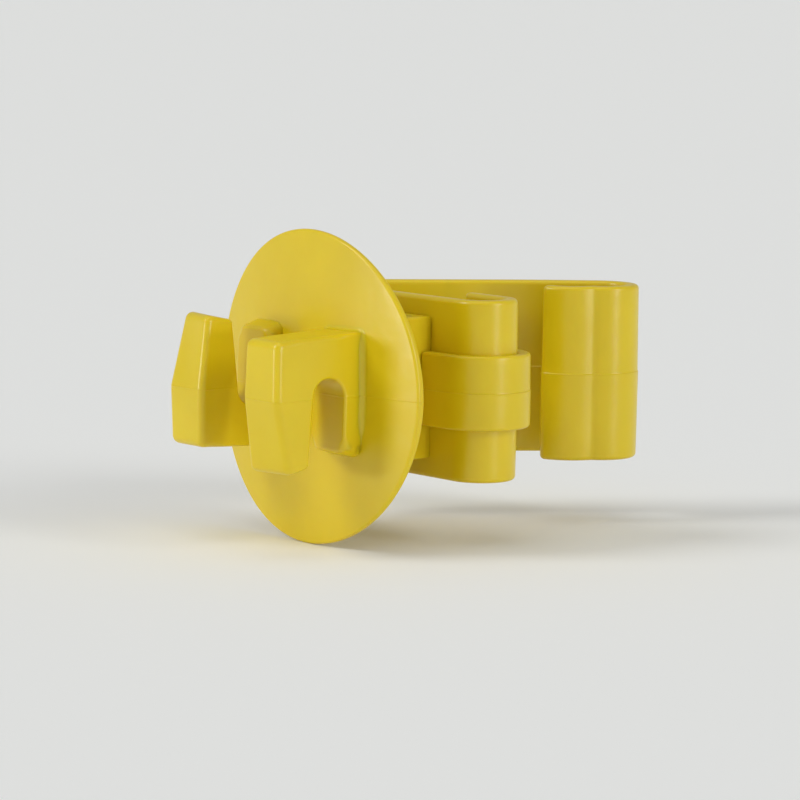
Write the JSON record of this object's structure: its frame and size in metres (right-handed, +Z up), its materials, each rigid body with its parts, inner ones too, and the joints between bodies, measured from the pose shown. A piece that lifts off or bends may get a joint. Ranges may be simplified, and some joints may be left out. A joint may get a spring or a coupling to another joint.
{
  "type": "fence insulator",
  "caption": "Clip-on T-post fence insulator: round skirt disc with two opposed wire hooks, box stand-off, flange claw, and a strap with a sprung latch loop.",
  "frame": {"origin": "centre of the flat face that bears on the front of the post's flange, at mid height", "axes": "+X to the right seen from the wire side, +Y from the wire side back towards the post's stem, +Z up along the post"},
  "size_m": [0.0572, 0.0911, 0.0572],
  "materials": {
    "moulding": "semi-gloss yellow polyethylene, slightly translucent, fine moulded grain"
  },
  "bodies": {
    "body": {"skirt_disc": "moulding", "wire_hook_right": "moulding", "wire_hook_left": "moulding", "standoff_box": "moulding", "post_saddle": "moulding", "right_claw": "moulding", "claw_rib": "moulding"},
    "strap": {"strap_arm": "moulding", "strap_rib": "moulding"},
    "latch": {"latch_eye": "moulding", "latch_lip": "moulding"}
  },
  "joints": [
    {"name": "strap_flex", "type": "hinge", "parent": "body", "child": "strap", "pos_m": [-0.0145, -0.0015, 0], "axis": [0, 0, 1], "range_deg": [0, 30], "stiffness_Nm_per_rad": 0.6},
    {"name": "latch_flex", "type": "hinge", "parent": "strap", "child": "latch", "pos_m": [-0.00263, 0.03941, 0], "axis": [0, 0, 1], "range_deg": [0, 35], "stiffness_Nm_per_rad": 0.4}
  ]
}
